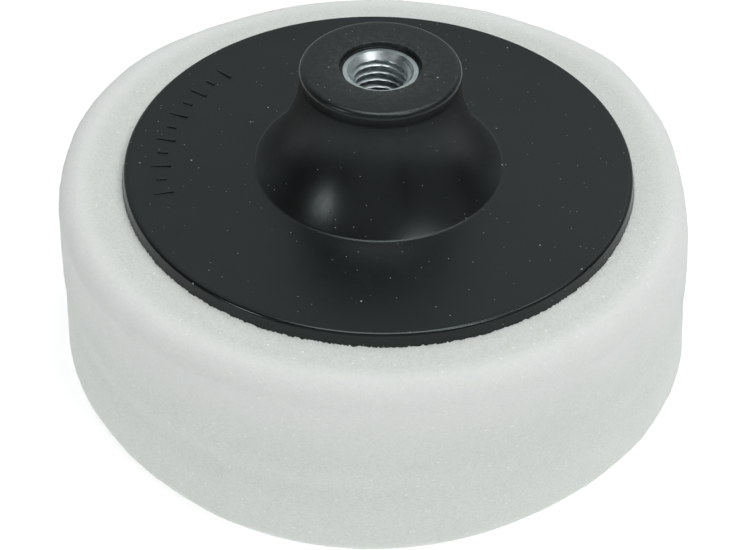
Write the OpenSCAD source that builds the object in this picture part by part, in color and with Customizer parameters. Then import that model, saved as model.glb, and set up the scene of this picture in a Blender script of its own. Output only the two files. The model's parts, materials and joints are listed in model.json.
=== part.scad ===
// Foam polishing pad on a moulded backing plate, screwed to a polisher by its hub.
// The working face of the foam lies on z = 0 and the spindle axis is +Z.

/* [Foam] */
// Diameter of the foam at its top shoulder
foam_top_d = 150; // [142:1:152]
// Diameter of the foam at the working face
foam_face_d = 153; // [152:1:158]
// Height of the foam from the working face to the glue
foam_h = 47.2; // [35:0.1:60]
// Radius of the soft shoulder at the top of the foam
foam_shoulder_r = 6; // [3:0.5:8]
// Radius of the edge of the working face
foam_edge_r = 2.5; // [1:0.5:6]

/* [Backing plate] */
// Diameter of the backing plate
plate_d = 120; // [110:1:130]
// Thickness of the plate at its rim
plate_t = 2.4; // [2.2:0.1:4]
// Radius of the rounded top edge of the rim
rim_r = 1.7; // [0.4:0.1:1.9]
// Thickness of the glue between plate and foam
glue_t = 0.4; // [0.2:0.1:0.8]

/* [Hub] */
// Height of the hub above the plate
hub_h = 27; // [25:0.5:32]
// Diameter of the hub's head
hub_head_d = 36.8; // [34:0.2:38]
// Diameter of the hub where it meets the plate
hub_foot_d = 58; // [54:1:62]
// Height of the straight collar around the head, chamfer included
collar_h = 3.2; // [2:0.1:4]
// Chamfer on the head
head_chamfer = 1; // [0.5:0.1:1.4]
// Radius of the fillet where the hub meets the plate
foot_fillet_r = 1; // [0.5:0.1:1.5]
// Diameter of the recess around the insert
recess_d = 18.7; // [18.3:0.1:20]
// Depth of the recess around the insert
recess_depth = 1.4; // [0.8:0.1:2]

/* [Hub core, seen from below] */
// Wall thickness of the bell
bell_wall = 3; // [2.5:0.1:4]
// Outer diameter of the sleeve that holds the insert
sleeve_d = 25; // [24:0.5:26]
// Diameter of the cored space at the underside
core_d = 52; // [48:1:54]
// Number of radial ribs between sleeve and bell
rib_count = 10; // [8:1:12]
// Thickness of a rib
rib_t = 2; // [1.5:0.1:3]
// Depth of the blind clearance bore below the insert
clearance_depth = 7; // [4:0.5:8]
// Diameter of the blind clearance bore below the insert
clearance_d = 14.6; // [14.4:0.1:16]

/* [Insert] */
// Diameter of the insert's collar
insert_collar_d = 17.5; // [16.8:0.1:18]
// Height of the insert's collar
insert_collar_h = 3; // [2:0.5:4]
// Total length of the insert
insert_len = 13; // [11:0.5:14]
// Width across the flats of the insert's hexagonal body
insert_flats = 17; // [16.5:0.1:18]
// Diameter of the groove that locks the insert into the plastic
insert_groove_d = 16; // [15.4:0.1:16.4]
// Height of the locking groove
insert_groove_h = 2; // [1:0.5:3]
// How far the insert stands above the floor of the recess
insert_proud = 0.15; // [0.05:0.05:0.4]
// Diameter at the mouth of the lead-in chamfer
lead_in_d = 15.1; // [14.6:0.1:15.4]

/* [Moulded scale] */
// Number of raised ticks in the scale
tick_count = 11; // [5:2:15]
// Radius of the scale, at the middle of its ticks
tick_radius = 50.8; // [42:0.1:52]
// Length of a long tick
tick_long = 4.6; // [3:0.1:5]
// Length of a short tick
tick_short = 2.4; // [1.5:0.1:3]
// Width of a tick
tick_w = 0.6; // [0.4:0.1:1.2]
// Height of a tick above the plate
tick_h = 0.25; // [0.2:0.05:0.5]
// Direction of the first tick
tick_start = 140; // [90:1:180]
// Angle between ticks
tick_step = 5.6; // [4:0.1:7]

/* [Hidden] */
$fn = 96;

// Minor diameter of an M14 x 2 internal thread: a standard size, so it isn't adjustable.
thread_minor_d = 11.835;
// Anything that cuts or is cut runs this far past the face that it crosses.
over = 1;
// How far the raised ticks are rooted in the plate.
tick_root = 0.5;
// The glue stops this far inside the rim, and this far outside the cored space.
glue_margin = 0.8;

plate_r = plate_d / 2;
plate_under_z = foam_h + glue_t;
plate_top_z = plate_under_z + plate_t;
head_z = plate_top_z + hub_h;
head_r = hub_head_d / 2;
foot_r = hub_foot_d / 2;
// The neck of the bell starts a little inside the collar, so the collar stands proud of it.
neck_r = head_r - 0.25;
neck_z = head_z - head_chamfer - 0.5;
collar_z = head_z - collar_h;
// One concave arc runs from the neck, where it is vertical, to the foot.
bell_drop = neck_z - plate_top_z;
bell_spread = foot_r - neck_r;
bell_arc_r = (bell_drop * bell_drop + bell_spread * bell_spread) / (2 * bell_spread);
bell_arc_x = neck_r + bell_arc_r;
// The foot fillet is a circle that touches both the bell's arc and the plate's top.
fillet_z = plate_top_z + foot_fillet_r;
fillet_gap = bell_arc_r - foot_fillet_r;
fillet_x = bell_arc_x - sqrt(fillet_gap * fillet_gap - (neck_z - fillet_z) * (neck_z - fillet_z));
// Direction from the bell arc's centre through the fillet's centre, to where they touch.
touch_x = fillet_x + (fillet_x - bell_arc_x) * foot_fillet_r / fillet_gap;
touch_z = fillet_z + (fillet_z - neck_z) * foot_fillet_r / fillet_gap;

recess_z = head_z - recess_depth;
insert_top_z = recess_z + insert_proud;
insert_bottom_z = insert_top_z - insert_len;
insert_body_r = insert_flats / 2 / cos(30);
groove_top_z = insert_top_z - insert_collar_h;
groove_bottom_z = groove_top_z - insert_groove_h;
lead_in_h = (lead_in_d - thread_minor_d) / 2;

core_roof_z = head_z - 4.5;
sleeve_r = sleeve_d / 2;
core_r = core_d / 2;

foam_top_r = foam_top_d / 2;
foam_face_r = foam_face_d / 2;

// A ring with a square section, from one height to another.
module ring(inner_r, outer_r, low, high) {
    rotate_extrude()
        translate([inner_r, low])
            square([outer_r - inner_r, high - low]);
}

// Half section of the foam: a straight wall between two rounded edges.
module foam_section() {
    shoulder_x = foam_top_r - foam_shoulder_r;
    shoulder_z = foam_h - foam_shoulder_r;
    edge_x = foam_face_r - foam_edge_r;
    polygon([
        [0, 0], [edge_x, 0], [foam_face_r, foam_edge_r],
        [foam_top_r, shoulder_z], [shoulder_x, foam_h], [0, foam_h]
    ]);
    intersection() {
        translate([shoulder_x, shoulder_z]) circle(r = foam_shoulder_r);
        translate([0, shoulder_z]) square([foam_top_r + over, foam_shoulder_r + over]);
    }
    intersection() {
        translate([edge_x, foam_edge_r]) circle(r = foam_edge_r);
        translate([0, -over]) square([foam_face_r + over, foam_edge_r + over]);
    }
}

// Half section of the hub: a block with the flare's arc taken out of its outer side, the
// collar with its chamfer, and the fillet at the foot.
module hub_section() {
    difference() {
        translate([0, plate_under_z]) square([touch_x, neck_z - plate_under_z]);
        translate([bell_arc_x, neck_z]) circle(r = bell_arc_r, $fn = 360);
    }
    polygon([
        [0, collar_z], [head_r, collar_z], [head_r, head_z - head_chamfer],
        [head_r - head_chamfer, head_z], [0, head_z]
    ]);
    difference() {
        polygon([
            [touch_x - foot_fillet_r, plate_under_z], [fillet_x, plate_under_z],
            [fillet_x, fillet_z], [touch_x, touch_z], [touch_x - foot_fillet_r, touch_z]
        ]);
        translate([fillet_x, fillet_z]) circle(r = foot_fillet_r);
    }
}

// Half section of the flat disc outside the hub, with its rounded upper edge.
module disc_section() {
    translate([fillet_x, plate_under_z]) square([plate_r - rim_r - fillet_x, plate_t]);
    translate([fillet_x, plate_under_z]) square([plate_r - fillet_x, plate_t - rim_r]);
    translate([plate_r - rim_r, plate_top_z - rim_r]) circle(r = rim_r);
}

// Half section of the cored space between the sleeve and the bell's inner wall.
module core_section() {
    difference() {
        translate([sleeve_r, plate_under_z - over])
            square([core_r - sleeve_r, core_roof_z - plate_under_z + over]);
        translate([bell_arc_x, neck_z]) circle(r = bell_arc_r + bell_wall, $fn = 360);
    }
}

// Outer shape of the insert: round collar, locking groove and hexagonal body.
module insert_envelope() {
    translate([0, 0, groove_top_z]) cylinder(d = insert_collar_d, h = insert_collar_h);
    translate([0, 0, groove_bottom_z]) cylinder(d = insert_groove_d, h = insert_groove_h);
    translate([0, 0, insert_bottom_z])
        cylinder(r = insert_body_r, h = groove_bottom_z - insert_bottom_z, $fn = 6);
}

// Raised ticks on an arc; every second one is short.
module tick_scale() {
    for (i = [0 : tick_count - 1]) {
        tick_len = i % 2 == 0 ? tick_long : tick_short;
        rotate([0, 0, tick_start + i * tick_step])
            translate([tick_radius - tick_len / 2, -tick_w / 2, plate_top_z - tick_root])
                cube([tick_len, tick_w, tick_root + tick_h]);
    }
}

// One piece of polyurethane foam.
module foam_pad() {
    color([0.82, 0.83, 0.81]) rotate_extrude($fn = 180) foam_section();
}

// Glue between the plate's flat underside and the foam.
module adhesive_film() {
    color([0.86, 0.80, 0.60])
        ring(core_r + glue_margin, plate_r - glue_margin, foam_h, plate_under_z);
}

// The flat disc of the moulding, with the scale on it.
module backing_plate() {
    color([0.17, 0.19, 0.20]) {
        rotate_extrude($fn = 180) disc_section();
        tick_scale();
    }
}

// The bell of the moulding, inside the disc, cored from below around the sleeve.
module hub() {
    color([0.13, 0.15, 0.16])
        difference() {
            rotate_extrude($fn = 180) hub_section();
            rotate_extrude() core_section();
            insert_envelope();
            translate([0, 0, recess_z]) cylinder(d = recess_d, h = recess_depth + over);
            translate([0, 0, insert_bottom_z - clearance_depth])
                cylinder(d = clearance_d, h = clearance_depth + over);
        }
}

// The moulding's ribs, which fill slices of the cored space from the sleeve to the bell.
module hub_ribs() {
    color([0.16, 0.18, 0.19])
        intersection() {
            rotate_extrude() core_section();
            for (i = [0 : rib_count - 1])
                rotate([0, 0, i * 360 / rib_count])
                    translate([sleeve_r - over, -rib_t / 2, plate_under_z])
                        cube([core_r - sleeve_r + 2 * over, rib_t, hub_h]);
        }
}

// Steel bush that is moulded into the hub, with the spindle's thread.
module threaded_insert() {
    color([0.70, 0.74, 0.75])
        difference() {
            insert_envelope();
            translate([0, 0, insert_bottom_z - over])
                cylinder(d = thread_minor_d, h = insert_len + 2 * over);
            translate([0, 0, insert_top_z - lead_in_h])
                cylinder(d1 = thread_minor_d, d2 = lead_in_d + 2 * over, h = lead_in_h + over);
        }
}

foam_pad();
adhesive_film();
backing_plate();
hub();
hub_ribs();
threaded_insert();
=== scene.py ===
import json
import math

import bmesh
import bpy
from mathutils import Matrix, Vector, noise


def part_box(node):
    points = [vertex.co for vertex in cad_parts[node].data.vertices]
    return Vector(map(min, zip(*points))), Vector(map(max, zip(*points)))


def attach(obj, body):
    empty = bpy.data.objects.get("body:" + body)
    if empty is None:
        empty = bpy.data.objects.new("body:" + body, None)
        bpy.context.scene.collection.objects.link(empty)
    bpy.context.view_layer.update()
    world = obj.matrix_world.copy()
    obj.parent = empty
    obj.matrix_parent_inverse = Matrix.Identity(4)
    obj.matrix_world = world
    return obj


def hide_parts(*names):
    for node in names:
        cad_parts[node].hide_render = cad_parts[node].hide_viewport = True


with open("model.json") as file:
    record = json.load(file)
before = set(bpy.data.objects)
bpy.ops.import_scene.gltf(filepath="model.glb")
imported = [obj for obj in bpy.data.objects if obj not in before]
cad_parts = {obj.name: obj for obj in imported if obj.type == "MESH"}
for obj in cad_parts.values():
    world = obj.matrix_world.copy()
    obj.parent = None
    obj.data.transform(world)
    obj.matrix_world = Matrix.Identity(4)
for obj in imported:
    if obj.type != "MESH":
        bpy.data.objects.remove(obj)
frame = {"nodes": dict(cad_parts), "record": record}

# Looks of a foam polishing pad with a moulded backing plate and a threaded steel bush.
# Lengths in this script are metres; MM turns millimetres into metres.

MM = 0.001
TURN = 2 * math.pi

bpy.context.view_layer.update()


# ---------------------------------------------------------------- node helpers

RANGE_SOCKETS = ("From Min", "From Max", "To Min", "To Max")


class Material:
    """A node material with a Principled shader, built up node by node."""

    def __init__(self, name, **sockets):
        self.data = bpy.data.materials.new(name)
        self.data.use_nodes = True
        self.tree = self.data.node_tree
        self.shader = self.tree.nodes["Principled BSDF"]
        self.place = self.add("ShaderNodeTexCoord").outputs["Object"]
        for socket, value in sockets.items():
            self.shader.inputs[socket.replace("_", " ")].default_value = value

    def add(self, kind, **settings):
        node = self.tree.nodes.new(kind)
        for key, value in settings.items():
            setattr(node, key, value)
        return node

    def feed(self, socket, value):
        """Links a socket to another node's output, or sets it to a number or colour."""
        if isinstance(value, bpy.types.NodeSocket):
            self.tree.links.new(value, socket)
        else:
            socket.default_value = value

    def math(self, operation, a, b=0.0, clamp=False):
        node = self.add("ShaderNodeMath", operation=operation, use_clamp=clamp)
        self.feed(node.inputs[0], a)
        self.feed(node.inputs[1], b)
        return node.outputs[0]

    def noise(self, cell, detail=2.0, roughness=0.5, distortion=0.0):
        """Smooth noise whose features are about `cell` metres across."""
        node = self.add("ShaderNodeTexNoise")
        self.feed(node.inputs["Vector"], self.place)
        node.inputs["Scale"].default_value = 1 / cell
        node.inputs["Detail"].default_value = detail
        node.inputs["Roughness"].default_value = roughness
        node.inputs["Distortion"].default_value = distortion
        return node.outputs["Fac"]

    def cells(self, cell, place=None):
        """Voronoi cells about `cell` metres across: (distance to the centre, random colour)."""
        node = self.add("ShaderNodeTexVoronoi")
        self.feed(node.inputs["Vector"], place or self.place)
        node.inputs["Scale"].default_value = 1 / cell
        return node.outputs["Distance"], node.outputs["Color"]

    def span(self, value, low, high, out_low=0.0, out_high=1.0):
        """Maps low..high to out_low..out_high, held at both ends."""
        node = self.add("ShaderNodeMapRange", clamp=True)
        self.feed(node.inputs["Value"], value)
        for key, number in zip(RANGE_SOCKETS, (low, high, out_low, out_high)):
            self.feed(node.inputs[key], number)
        return node.outputs["Result"]

    def mix(self, factor, a, b):
        node = self.add("ShaderNodeMix", data_type="RGBA")
        self.feed(node.inputs["Factor"], factor)
        self.feed(node.inputs["A"], a)
        self.feed(node.inputs["B"], b)
        return node.outputs["Result"]

    def bump(self, height, distance, strength=1.0, under=None):
        node = self.add("ShaderNodeBump")
        node.inputs["Strength"].default_value = strength
        node.inputs["Distance"].default_value = distance
        self.feed(node.inputs["Height"], height)
        if under:
            self.feed(node.inputs["Normal"], under)
        return node.outputs["Normal"]

    def speck_mask(self, cell, size, share):
        """Round specks `size` metres across, in that share of the cells."""
        distance, colour = self.cells(cell)
        lucky = self.math("LESS_THAN", self.channel(colour, "Red"), share)
        inside = self.span(distance, 0.5 * size / cell, 0.35 * size / cell)
        return self.math("MULTIPLY", lucky, inside)

    def radius(self, centre=(0, 0)):
        """Distance from an upright axis, which is the spindle's unless a centre is given."""
        along = self.add("ShaderNodeSeparateXYZ")
        self.feed(along.inputs[0], self.place)
        x, y = (self.math("SUBTRACT", along.outputs[axis], at) for axis, at in zip("XY", centre))
        squares = self.math("ADD", self.math("MULTIPLY", x, x), self.math("MULTIPLY", y, y))
        return self.math("SQRT", squares)

    def height(self):
        """Height above the working face."""
        along = self.add("ShaderNodeSeparateXYZ")
        self.feed(along.inputs[0], self.place)
        return along.outputs["Z"]

    def band(self, value, low, high, soft):
        """1 between low and high, fading to 0 over `soft` on either side."""
        rise = self.span(value, low - soft, low)
        return self.math("MULTIPLY", rise, self.span(value, high, high + soft, 1, 0))

    def channel(self, colour, name):
        node = self.add("ShaderNodeSeparateColor")
        self.feed(node.inputs["Color"], colour)
        return node.outputs[name]

    def finish(self, colour=None, roughness=None, normal=None):
        for socket, value in (("Base Color", colour), ("Roughness", roughness), ("Normal", normal)):
            if value is not None:
                self.feed(self.shader.inputs[socket], value)
        return self.data


# ------------------------------------------------------------------- materials

# Painted highlight: the foam's shoulder is painted paler, standing in for the light it catches. It fades
# in with the height and with the distance from the axis.
SHOULDER_HIGHLIGHT_Z = (27 * MM, 44 * MM)
SHOULDER_HIGHLIGHT_R = (66 * MM, 70 * MM)
# The hub's top face is scuffed from the recess outwards.
SCUFF_R = (9 * MM, 15 * MM)
# The floor's glow, a painted pool of light round the pad, and then its colour fade out with the distance
# from this spot; the colour turning dark far away is painted shade.
LIGHT_POOL_CENTRE = (0.05, -0.02)
PAINTED_GLOW_FADE, PAINTED_SHADE_FADE = (0.2, 0.5), (0.25, 0.9)
FLOOR_PAINTED_GLOW = 0.45


def foam_material():
    """Off-white open-cell foam: fine pores, a few holes painted dark as shade, cell skins with painted
    white glints.
    """
    m = Material(
        "foam", Subsurface_Weight=0.4, Subsurface_Scale=3.0 * MM, Specular_IOR_Level=0.25,
        Sheen_Weight=0.1, Sheen_Roughness=0.6,
    )
    m.shader.inputs["Subsurface Radius"].default_value = (1.0, 0.95, 0.85)
    flat = m.add("ShaderNodeMapping")
    m.feed(flat.inputs["Vector"], m.place)
    flat.inputs["Scale"].default_value = (1, 1, 1.8)
    small, tint = m.cells(0.42 * MM, flat.outputs["Vector"])
    large, _ = m.cells(1.0 * MM, flat.outputs["Vector"])
    pores = m.math("ADD", m.math("MULTIPLY", small, 0.65), m.math("MULTIPLY", large, 0.35))
    cloud = m.noise(12 * MM, detail=3)
    light = m.mix(m.span(cloud, 0.3, 0.7), (0.80, 0.835, 0.80, 1), (0.835, 0.865, 0.835, 1))
    # Painted highlight: the shoulder is paler where the light catches it.
    painted_highlight = m.math("MULTIPLY", m.span(m.height(), *SHOULDER_HIGHLIGHT_Z), m.span(m.radius(), *SHOULDER_HIGHLIGHT_R))
    colour = m.mix(m.span(pores, 0.35, 0.8), light, (0.73, 0.765, 0.73, 1))
    colour = m.mix(m.math("MULTIPLY", painted_highlight, 0.55), colour, (0.98, 1, 0.98, 1))
    # Painted shade: a few holes are painted near black for the shade inside them; the bump sinks them
    # too.
    shaded_holes = m.speck_mask(14 * MM, 0.75 * MM, 0.16)
    colour = m.mix(shaded_holes, colour, (0.16, 0.17, 0.16, 1))
    # Painted highlights: a few cells are painted white as glints, and they are also made less rough.
    painted_glints = m.math("GREATER_THAN", m.channel(tint, "Green"), 0.9965)
    colour = m.mix(painted_glints, colour, (1, 1, 1, 1))
    roughness = m.span(painted_glints, 0, 1, 0.85, 0.3)
    relief = m.math("SUBTRACT", m.math("MULTIPLY", pores, -1.0), m.math("MULTIPLY", shaded_holes, 0.8))
    normal = m.bump(relief, 0.25 * MM, strength=0.3)
    return m.finish(colour, roughness, normal)


def plastic_material(head_z, rim_r):
    """Satin black moulded plastic with dust specks, faint scuffs, a fine grain and a bright rim."""
    m = Material("plate_plastic", Specular_IOR_Level=0.5)
    m.shader.inputs["Specular Tint"].default_value = (0.88, 1.0, 1.0, 1)
    cloud = m.noise(14 * MM, detail=4)
    colour = m.mix(m.span(cloud, 0.3, 0.7), (0.0075, 0.0085, 0.0085, 1), (0.0095, 0.011, 0.011, 1))
    radius = m.radius()
    on_top = m.span(m.height(), head_z - 0.8 * MM, head_z - 0.2 * MM)
    scuffs = m.span(m.noise(1.1 * MM, detail=5, roughness=0.75, distortion=0.8), 0.42, 0.68)
    rubbed = m.math("MULTIPLY", on_top, m.span(radius, *SCUFF_R, 1, 0.25))
    scuffed = m.math("MULTIPLY", scuffs, m.math("MULTIPLY", rubbed, 0.085))
    colour = m.mix(scuffed, colour, (0.55, 0.6, 0.6, 1))
    large_specks = m.speck_mask(4 * MM, 0.5 * MM, 0.25)
    small_specks = m.speck_mask(1.4 * MM, 0.26 * MM, 0.32)
    dust = m.math("MAXIMUM", large_specks, small_specks)
    colour = m.mix(m.math("MULTIPLY", dust, 0.6), colour, (0.55, 0.57, 0.57, 1))
    grain = m.noise(0.28 * MM, detail=2)
    smears = m.noise(6 * MM, detail=5, roughness=0.7, distortion=1.2)
    bright_rim = m.band(radius, rim_r - 1.8 * MM, rim_r - 0.4 * MM, 0.2 * MM)
    satin = m.span(smears, 0.35, 0.7, 0.29, 0.35)
    roughness = m.math("SUBTRACT", satin, m.math("MULTIPLY", bright_rim, 0.13))
    roughness = m.math("ADD", roughness, m.math("MULTIPLY", dust, 0.3))
    relief = m.math("ADD", grain, m.math("MULTIPLY", dust, 1.5))
    normal = m.bump(relief, 0.02 * MM, strength=0.5)
    return m.finish(colour, roughness, normal)


def steel_material():
    """Turned steel with a bright zinc plating: fine rings, cloudy patches, small pits."""
    m = Material("insert_steel", Metallic=1.0)
    rings = m.math("SINE", m.math("MULTIPLY", m.radius(), TURN / (0.16 * MM)))
    patches = m.noise(2.2 * MM, detail=3, roughness=0.5)
    colour = m.mix(m.span(patches, 0.3, 0.7), (0.56, 0.63, 0.64, 1), (0.66, 0.73, 0.745, 1))
    pits = m.speck_mask(1.1 * MM, 0.16 * MM, 0.15)
    colour = m.mix(m.math("MULTIPLY", pits, 0.5), colour, (0.2, 0.22, 0.22, 1))
    roughness = m.span(patches, 0.3, 0.75, 0.32, 0.44)
    relief = m.math("SUBTRACT", m.math("MULTIPLY", rings, 0.35), m.math("MULTIPLY", pits, 1.5))
    normal = m.bump(m.math("ADD", relief, m.noise(0.6 * MM, detail=2)), 0.01 * MM, strength=0.3)
    return m.finish(colour, roughness, normal)


def glue_material():
    """Thin cured glue, amber and slightly wavy."""
    m = Material("adhesive")
    waves = m.noise(3 * MM, detail=3)
    colour = m.mix(waves, (0.62, 0.52, 0.30, 1), (0.78, 0.70, 0.48, 1))
    return m.finish(colour, m.span(waves, 0.3, 0.7, 0.25, 0.45), m.bump(waves, 0.1 * MM))


def floor_material():
    """Pale studio floor with a painted pool of light glowing round the pad, and painted shade that makes
    it darker far away.
    """
    m = Material("floor")
    shade = m.noise(120 * MM, detail=2)
    colour = m.mix(shade, (0.93, 0.935, 0.94, 1), (0.95, 0.952, 0.955, 1))
    away = m.radius(LIGHT_POOL_CENTRE)
    # Painted shade: the floor's colour darkens far from the pad.
    colour = m.mix(m.span(away, *PAINTED_SHADE_FADE), colour, (0.35, 0.355, 0.36, 1))
    # Painted light: the floor glows round the pad as a pool of light, though it is no lamp.
    m.shader.inputs["Emission Color"].default_value = (1, 1, 1, 1)
    m.feed(m.shader.inputs["Emission Strength"], m.span(away, *PAINTED_GLOW_FADE, FLOOR_PAINTED_GLOW, 0))
    return m.finish(colour, 0.6)


# --------------------------------------------------------------------- meshing

def spread(start, end, step):
    """Evenly spaced numbers from start to end, both included, at most `step` apart."""
    count = max(1, math.ceil(abs(end - start) / step))
    return [start + (end - start) * i / count for i in range(count + 1)]


def arc(centre, radius, from_angle, to_angle, step):
    """Points (r, z) on an arc in the half section; angles are in degrees."""
    turns = spread(math.radians(from_angle), math.radians(to_angle), step / radius)
    return [(centre[0] + radius * math.cos(t), centre[1] + radius * math.sin(t)) for t in turns]


def revolve(name, rows, segments, shape=None):
    """A closed mesh from a half section that starts and ends on the axis, or is a closed loop.

    shape(r, z, angle, row) may give each point its own (r, z).
    """
    shape = shape or (lambda r, z, angle, row: (r, z))
    points, ring_of = [], []
    for row, (r, z) in enumerate(rows):
        if r < 1e-9:
            ring_of.append([len(points)] * segments)
            points.append((0, 0, z))
            continue
        ring_of.append(list(range(len(points), len(points) + segments)))
        for i in range(segments):
            angle = TURN * i / segments
            far, high = shape(r, z, angle, row)
            points.append((far * math.cos(angle), far * math.sin(angle), high))
    loop = rows[0][0] > 1e-9
    faces = []
    for row in range(len(rows) if loop else len(rows) - 1):
        near, far = ring_of[row], ring_of[(row + 1) % len(rows)]
        for i in range(segments):
            j = (i + 1) % segments
            corners = (near[i], far[i], far[j], near[j])
            faces.append(tuple(dict.fromkeys(corners)))
    mesh = bpy.data.meshes.new(name)
    mesh.from_pydata(points, [], faces)
    mesh.validate()
    mesh.polygons.foreach_set("use_smooth", [True] * len(mesh.polygons))
    piece = bpy.data.objects.new(name, mesh)
    bpy.context.collection.objects.link(piece)
    return piece


# ------------------------------------------------------------------- foam pad

FOAM_SEGMENTS = 1000
FOAM_STEP = 0.8 * MM
SHOULDER_R = 6.4 * MM
FACE_EDGE_R = 2.6 * MM
TOP_R = 75.0 * MM
FACE_R = 77.4 * MM
# The block is cut by hand, so its outline has bulges and flats: (direction and half-width in
# degrees, how far the foam stands out). The first list is for the top, the second for the face.
TOP_BULGES = ((40, 12, 2.7 * MM), (60, 22, 1.5 * MM), (150, 22, 2.7 * MM), (0, 16, -2.7 * MM))
FACE_BULGES = ((305, 30, -2.1 * MM), (220, 30, -1.6 * MM))
# The plate sinks into the foam, so the foam stands higher at the rim, and more so at the shoulder.
RIM_RISE, FOAM_RISE = 0.5 * MM, 1.0 * MM
# The cut's faint waist, part of the way up the wall.
WAIST_HEIGHT, WAIST_WIDTH, WAIST_DEPTH = 0.42, 3.5 * MM, 0.3 * MM


def foam_rows(low, high, rim_r):
    """Half section of the foam, from the axis at the top, round the outside, to the axis below."""
    top_z = high.z + FOAM_RISE
    shoulder = (TOP_R - SHOULDER_R, top_z - SHOULDER_R)
    edge = (FACE_R - FACE_EDGE_R, low.z + FACE_EDGE_R)
    under_rim = rim_r - 0.4 * MM
    rows = [(r, high.z) for r in spread(0, under_rim, 8 * MM)]
    near_rim = spread(under_rim, rim_r + 2 * MM, FOAM_STEP / 2)
    further_out = spread(rim_r + 2 * MM, shoulder[0], FOAM_STEP)[1:]
    for r in near_rim + further_out:
        share = (r - under_rim) / (shoulder[0] - under_rim)
        rows.append((r, high.z + RIM_RISE + (FOAM_RISE - RIM_RISE) * share))
    rows += arc(shoulder, SHOULDER_R, 90, 0, FOAM_STEP)[1:]
    wall = spread(0, 1, FOAM_STEP / (shoulder[1] - edge[1]))
    rows += [(TOP_R + (FACE_R - TOP_R) * t, shoulder[1] + (edge[1] - shoulder[1]) * t) for t in wall[1:]]
    rows += arc(edge, FACE_EDGE_R, 0, -90, FOAM_STEP)[1:]
    rows += [(r, low.z) for r in spread(edge[0], 0, 2 * FOAM_STEP)[1:]]
    return rows


def bulge(angle, bulges):
    """How far the outline stands out in this direction."""
    total = 0
    for direction, width, height in bulges:
        away = (math.degrees(angle) - direction + 180) % 360 - 180
        total += height * math.exp(-(away / width) ** 2)
    return total


def build_foam(rim_r):
    low, high = (Vector(corner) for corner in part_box("foam_pad"))
    height = high.z - low.z
    waist_z = low.z + WAIST_HEIGHT * height

    def shape(r, z, angle, row):
        up = (z - low.z) / height
        if up > 0.5 and z <= high.z and r < rim_r:
            return r, z
        place = Vector((r * math.cos(angle), r * math.sin(angle), z))
        lumps = noise.noise(place / (14 * MM)) * 0.25 * MM + noise.noise(place / (4 * MM)) * 0.08 * MM
        cells = noise.noise(place / (1.3 * MM)) * 0.07 * MM
        stand_out = up * bulge(angle, TOP_BULGES) + (1 - up) * bulge(angle, FACE_BULGES)
        if z < low.z + FACE_EDGE_R / 2:
            return r + stand_out * r / FACE_R, max(low.z, z + 0.5 * (lumps + cells))
        outward = min(1, max(0, (r - rim_r) / (TOP_R - rim_r)))
        waist = WAIST_DEPTH * math.exp(-((z - waist_z) / WAIST_WIDTH) ** 2)
        r += outward * (stand_out - waist + lumps + cells)
        if z > high.z - SHOULDER_R:
            z += 0.7 * (lumps + cells) + rim_swell(r, angle, rim_r)
        return r, z

    return revolve("foam_pad_cut", foam_rows(low, high, rim_r), FOAM_SEGMENTS, shape)


def rim_swell(r, angle, rim_r):
    """Torn cell walls stand up raggedly where the foam meets the plate's rim."""
    gap = abs(r - rim_r) / (0.8 * MM)
    if gap > 3:
        return 0
    round_rim = Vector((r * math.cos(angle), r * math.sin(angle), 0))
    torn = noise.noise(round_rim / (0.5 * MM)) + 0.5 * noise.noise(round_rim / (1.7 * MM))
    return 0.5 * MM * torn * math.exp(-gap * gap)


# ------------------------------------------------------------ plastic moulding

MOULDING_SEGMENTS = 400
HEAD_R = 18.4 * MM
HEAD_ROUND_R = 1.6 * MM
COLLAR_DEPTH = 2.8 * MM
COLLAR_ROUND_R = 0.6 * MM
NECK_R = 18.3 * MM
NECK_DEPTH = 1.5 * MM
FOOT_R = 29.0 * MM
FOOT_FILLET_R = 1.0 * MM
PLATE_THICKNESS = 2.4 * MM
RIM_ROUND_R = 0.8 * MM
# The rim's wall leans in by this much from its foot to its top.
RIM_DRAFT = 0.55 * MM
RECESS_R = 9.35 * MM
RECESS_DEPTH = 1.4 * MM
SEAT_R = 8.76 * MM
BODY_SEAT_R = 9.84 * MM
BODY_SEAT_DEPTH = 5.1 * MM
END_BORE_R = 7.3 * MM
END_BORE_DEPTH = 7.0 * MM
WALL = 3.0 * MM
SLEEVE_R = 12.5 * MM
CORE_R = 26.0 * MM
ROOF = 4.5 * MM
SOFT_EDGE = 0.25 * MM
# The disc is slightly dished: its rim stands this much above the foot of the hub.
DISH = 0.9 * MM
TICKS, FIRST_TICK, TICK_STEP = 11, 140, 5.6
TICK_R, LONG_TICK, SHORT_TICK = 50.8 * MM, 4.6 * MM, 2.4 * MM
TICK_WIDTH, TICK_HEIGHT = 0.6 * MM, 0.25 * MM


def eased(corners, step=0.08 * MM):
    """A polyline (r, z, edge radius) with its corners rounded to their edge radius."""
    points = []
    for i, (r, z, radius) in enumerate(corners):
        here = Vector((r, z))
        if radius == 0 or i in (0, len(corners) - 1):
            points.append((r, z))
            continue
        into = (here - Vector(corners[i - 1][:2])).normalized()
        out = (Vector(corners[i + 1][:2]) - here).normalized()
        half_turn = into.angle(out) / 2
        reach = radius * math.tan(half_turn)
        steps = max(3, math.ceil(2 * half_turn * radius / step))
        start, end = here - into * reach, here + out * reach
        for k in range(steps + 1):
            t = k / steps
            point = start * (1 - t) ** 2 + here * 2 * t * (1 - t) + end * t ** 2
            points.append(tuple(point))
    return points


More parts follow.
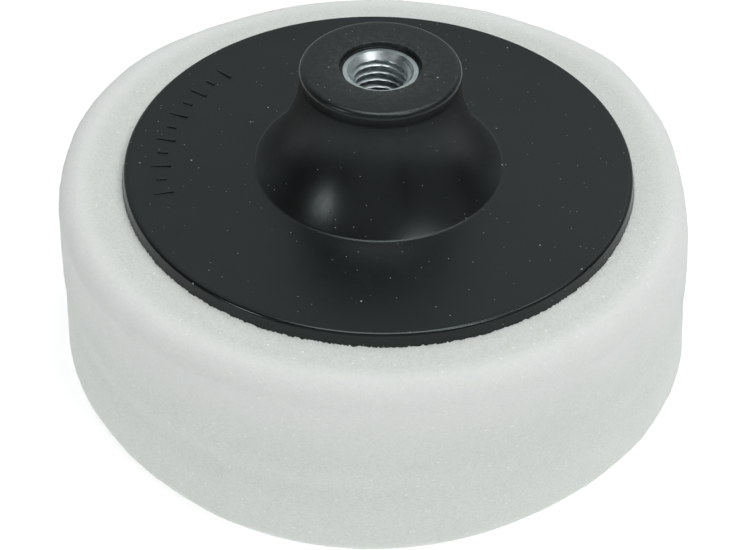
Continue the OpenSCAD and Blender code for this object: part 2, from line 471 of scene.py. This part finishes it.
def bell_curve(neck, foot_r, plate_top, step):
    """The flare from the neck, where it is upright, through the foot's fillet to the plate."""
    drop, out = neck[1] - plate_top, foot_r - neck[0]
    bend = (drop * drop + out * out) / (2 * out)
    centre = (neck[0] + bend, neck[1])
    fillet_z = plate_top + FOOT_FILLET_R
    reach = bend - FOOT_FILLET_R
    fillet_x = centre[0] - math.sqrt(reach ** 2 - (neck[1] - fillet_z) ** 2)
    meet = math.degrees(math.atan2(fillet_z - centre[1], fillet_x - centre[0])) % 360
    curve = arc(centre, bend, 180, meet, step)
    curve += arc((fillet_x, fillet_z), FOOT_FILLET_R, meet, 270, step / 6)[1:]
    return curve, centre, bend


def dished(r, rim):
    """Height of the disc's top above the foot of the hub."""
    return DISH * ((r - FOOT_R) / (rim - FOOT_R)) ** 2


def build_moulding():
    head_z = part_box("hub")[1][2]
    (_, _, under_z), (rim, _, _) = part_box("hub")[0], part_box("backing_plate")[1]
    plate_top = under_z + PLATE_THICKNESS
    bush_low, bush_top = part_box("threaded_insert")[0][2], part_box("threaded_insert")[1][2]
    seat_z = head_z - RECESS_DEPTH
    neck = (NECK_R, head_z - NECK_DEPTH)
    curve, centre, bend = bell_curve(neck, FOOT_R, plate_top, 0.5 * MM)
    collar_z = head_z - COLLAR_DEPTH
    below_collar = [point for point in curve if point[1] < collar_z - 0.6 * MM]
    bore = [(0, bush_low - END_BORE_DEPTH, 0), (END_BORE_R, bush_low - END_BORE_DEPTH, 0)]
    bore += [(END_BORE_R, bush_low, 0), (BODY_SEAT_R, bush_low, 0)]
    bore += [(BODY_SEAT_R, bush_top - BODY_SEAT_DEPTH, 0), (SEAT_R, bush_top - BODY_SEAT_DEPTH, 0)]
    head = [
        (SEAT_R, seat_z, 0), (RECESS_R, seat_z, 0.15 * MM), (RECESS_R, head_z, SOFT_EDGE),
        (HEAD_R, head_z, HEAD_ROUND_R), (HEAD_R, collar_z, COLLAR_ROUND_R), (*below_collar[0], 0),
    ]
    rows = [point[:2] for point in bore] + eased(head)[:-1]
    rows += below_collar
    flat_end = rim - RIM_DRAFT - RIM_ROUND_R
    rows += [(r, plate_top + dished(r, rim)) for r in spread(curve[-1][0], flat_end, 1 * MM)[1:]]
    rows += arc((flat_end, rows[-1][1] - RIM_ROUND_R), RIM_ROUND_R, 90, 10, 0.06 * MM)[1:]
    rows += [(rim, under_z), (CORE_R, under_z)]
    inner = [(centre[0] - math.sqrt((bend + WALL) ** 2 - (neck[1] - z) ** 2), z)
             for z in spread(under_z, head_z - ROOF, 1 * MM)]
    rows += [point for point in inner if point[0] < CORE_R]
    rows += [(SLEEVE_R, head_z - ROOF), (SLEEVE_R, under_z), (0, under_z)]
    piece = revolve("plastic_moulding", rows, MOULDING_SEGMENTS)
    add_ticks(piece, plate_top + dished(TICK_R, rim))
    sharp_edges(piece, 40)
    return piece


def add_ticks(piece, top_z):
    """Raised ticks on an arc, every second one short, with rounded edges."""
    shape = bmesh.new()
    shape.from_mesh(piece.data)
    for i in range(TICKS):
        length = LONG_TICK if i % 2 == 0 else SHORT_TICK
        turn = Matrix.Rotation(math.radians(FIRST_TICK + i * TICK_STEP), 4, "Z")
        size = Matrix.Diagonal((length, TICK_WIDTH, 2 * TICK_HEIGHT, 1))
        place = turn @ Matrix.Translation((TICK_R, 0, top_z)) @ size
        made = bmesh.ops.create_cube(shape, size=1, matrix=place)
        edges = list({edge for vert in made["verts"] for edge in vert.link_edges})
        bmesh.ops.bevel(shape, geom=edges, offset=0.1 * MM, segments=3, profile=0.5, affect="EDGES")
    for face in shape.faces:
        face.smooth = True
    shape.to_mesh(piece.data)
    shape.free()


# -------------------------------------------------------------- threaded bush

THREAD_PITCH = 2.0 * MM
THREAD_MAJOR_R = 7.0 * MM
THREAD_CREST = 0.25 * THREAD_PITCH
THREAD_ROOT = 0.125 * THREAD_PITCH
LEAD_IN_R = 7.55 * MM
COLLAR_HEIGHT = 3.0 * MM
BUSH_COLLAR_R = 8.75 * MM
GROOVE_HEIGHT = 2.0 * MM
GROOVE_R = 8.0 * MM
EDGE_BREAK = 0.22 * MM
BUSH_SEGMENTS = 192


def thread_radius(z, angle, minor_r):
    """Wall radius of a right-handed 60-degree thread."""
    phase = (z / THREAD_PITCH - angle / TURN) % 1.0 * THREAD_PITCH
    flank = (THREAD_PITCH - THREAD_CREST - THREAD_ROOT) / 2
    rise = (THREAD_MAJOR_R - minor_r) / flank
    from_crest = min(phase, THREAD_PITCH - phase) - THREAD_CREST / 2
    return minor_r + max(0.0, min(from_crest, flank)) * rise


def hexagon_radius(flat_r, angle):
    """Distance from the axis to a regular hexagon's side, for a hexagon with corners at 0 degrees."""
    sixth = TURN / 6
    return flat_r / math.cos(angle % sixth - sixth / 2)


def build_bush(minor_r):
    low, high = (Vector(corner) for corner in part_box("threaded_insert"))
    flat_r = high.y
    corner_low = high.z - COLLAR_HEIGHT - GROOVE_HEIGHT
    bore = [(minor_r, z) for z in spread(low.z, high.z, THREAD_PITCH / 18)]
    ring = [(r, high.z) for r in spread(LEAD_IN_R, BUSH_COLLAR_R - EDGE_BREAK, 0.2 * MM)]
    outside = [
        (BUSH_COLLAR_R, high.z - EDGE_BREAK), (BUSH_COLLAR_R, high.z - COLLAR_HEIGHT),
        (GROOVE_R, high.z - COLLAR_HEIGHT), (GROOVE_R, corner_low),
        (flat_r, corner_low), (flat_r, low.z),
    ]
    rows = bore[:-1] + ring + outside
    last_bore = len(bore) - 2
    first_body = len(rows) - 2

    def shape(r, z, angle, row):
        if row <= last_bore:
            lead_in = LEAD_IN_R - (high.z - z)
            return max(thread_radius(z, angle, minor_r), lead_in), z
        if row >= first_body:
            return hexagon_radius(flat_r, angle), z
        return r, z

    piece = revolve("bush_with_thread", rows, BUSH_SEGMENTS, shape)
    sharp_edges(piece, 35)
    return piece


def sharp_edges(piece, degrees):
    """Keeps edges crisp where faces meet at more than this angle."""
    piece.data.set_sharp_from_angle(angle=math.radians(degrees))


# ----------------------------------------------------------------------- build

record = frame["record"]
minor_r = next(m["dims"]["r_mm"] for m in record["mounts"] if m["name"] == "spindle_thread") * MM
rim_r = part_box("backing_plate")[1][0]


def wear(piece, material):
    piece.data.materials.clear()
    piece.data.materials.append(material)


foam = build_foam(rim_r)
wear(foam, foam_material())
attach(foam, "root")
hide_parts("foam_pad")

bush = build_bush(minor_r)
wear(bush, steel_material())
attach(bush, "root")
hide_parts("threaded_insert")

moulding = build_moulding()
plastic = plastic_material(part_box("hub")[1][2], rim_r)
wear(moulding, plastic)
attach(moulding, "root")
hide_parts("backing_plate", "hub")

wear(frame["nodes"]["hub_ribs"], plastic)
wear(frame["nodes"]["adhesive_film"], glue_material())


# ----------------------------------------------------------------------- stage

FLOOR_HALF = 3.0
FLOOR_Z = -0.2 * MM
# How strongly the surroundings shine from straight behind the pad.
BACK_GLOW = 0.57


def build_floor():
    mesh = bpy.data.meshes.new("floor")
    signs = ((-1, -1), (1, -1), (1, 1), (-1, 1))
    corners = [(x * FLOOR_HALF, y * FLOOR_HALF, FLOOR_Z) for x, y in signs]
    mesh.from_pydata(corners, [], [(0, 1, 2, 3)])
    floor = bpy.data.objects.new("floor", mesh)
    bpy.context.collection.objects.link(floor)
    wear(floor, floor_material())


# Soft lights: name, azimuth and elevation in degrees (azimuth 0 is +X and 90 is +Y), distance
# and size in metres, power in watts.
LIGHTS = (
    ("top", 0, 88, 1.0, 0.6, 4.6),
    ("right", 10, 56, 1.0, 0.3, 0.8),
    ("front_right", -45, 52, 1.0, 0.3, 1.5),
    ("back_right", 60, 50, 1.0, 0.5, 0.25),
    ("front_left", -143, 24, 0.8, 0.14, 0.7),
    ("low_front", -95, 18, 1.2, 1.2, 1.4),
    ("low_right", -30, 18, 1.2, 1.2, 1.1),
)


def area_light(name, azimuth, elevation, distance, size, power):
    """A soft square light aimed at the pad."""
    data = bpy.data.lights.new(name, "AREA")
    data.size = size
    data.energy = power
    light = bpy.data.objects.new(name, data)
    bpy.context.collection.objects.link(light)
    around, up = math.radians(azimuth), math.radians(elevation)
    away = Vector((math.cos(around) * math.cos(up), math.sin(around) * math.cos(up), math.sin(up)))
    light.location = Vector((0, 0, 0.05)) + away * distance
    light.rotation_euler = away.to_track_quat("Z", "Y").to_euler()


def build_world():
    """Soft surroundings that grow brighter towards the back."""
    world = bpy.data.worlds.new("studio")
    bpy.context.scene.world = world
    world.use_nodes = True
    nodes, links = world.node_tree.nodes, world.node_tree.links
    background = nodes["Background"]
    place = nodes.new("ShaderNodeTexCoord")
    split = nodes.new("ShaderNodeSeparateXYZ")
    links.new(place.outputs["Generated"], split.inputs[0])
    ramp = nodes.new("ShaderNodeMapRange")
    links.new(split.outputs["Y"], ramp.inputs["Value"])
    for key, number in zip(RANGE_SOCKETS, (0, 1, 0, BACK_GLOW)):
        ramp.inputs[key].default_value = number
    background.inputs["Color"].default_value = (0.93, 1.0, 0.99, 1)
    links.new(ramp.outputs["Result"], background.inputs["Strength"])


# The camera's lens in millimetres, its place in front of the axis and above the disc in metres,
# and its turns in degrees.
LENS, SENSOR_WIDTH = 81.6, 36
CAMERA_BACK, CAMERA_UP = 0.3131, 0.2486
CAMERA_PAN, CAMERA_DOWN, CAMERA_ROLL = 0.06, 42.34, 1.15


def build_camera():
    """Stands in front of the pad and above it, and looks down at it."""
    data = bpy.data.cameras.new("camera")
    data.sensor_width = SENSOR_WIDTH
    data.lens = LENS
    data.clip_start = 0.02
    camera = bpy.data.objects.new("camera", data)
    bpy.context.collection.objects.link(camera)
    bpy.context.scene.camera = camera
    plate_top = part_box("backing_plate")[1][2]
    spot = Matrix.Translation((0, -CAMERA_BACK, plate_top + CAMERA_UP))
    pan = Matrix.Rotation(math.radians(CAMERA_PAN), 4, "Z")
    tilt = Matrix.Rotation(math.radians(90 - CAMERA_DOWN), 4, "X")
    roll = Matrix.Rotation(math.radians(CAMERA_ROLL), 4, "Z")
    camera.matrix_world = spot @ pan @ tilt @ roll


build_floor()
build_world()
for light in LIGHTS:
    area_light(*light)
build_camera()
bpy.context.scene.view_settings.view_transform = "Standard"
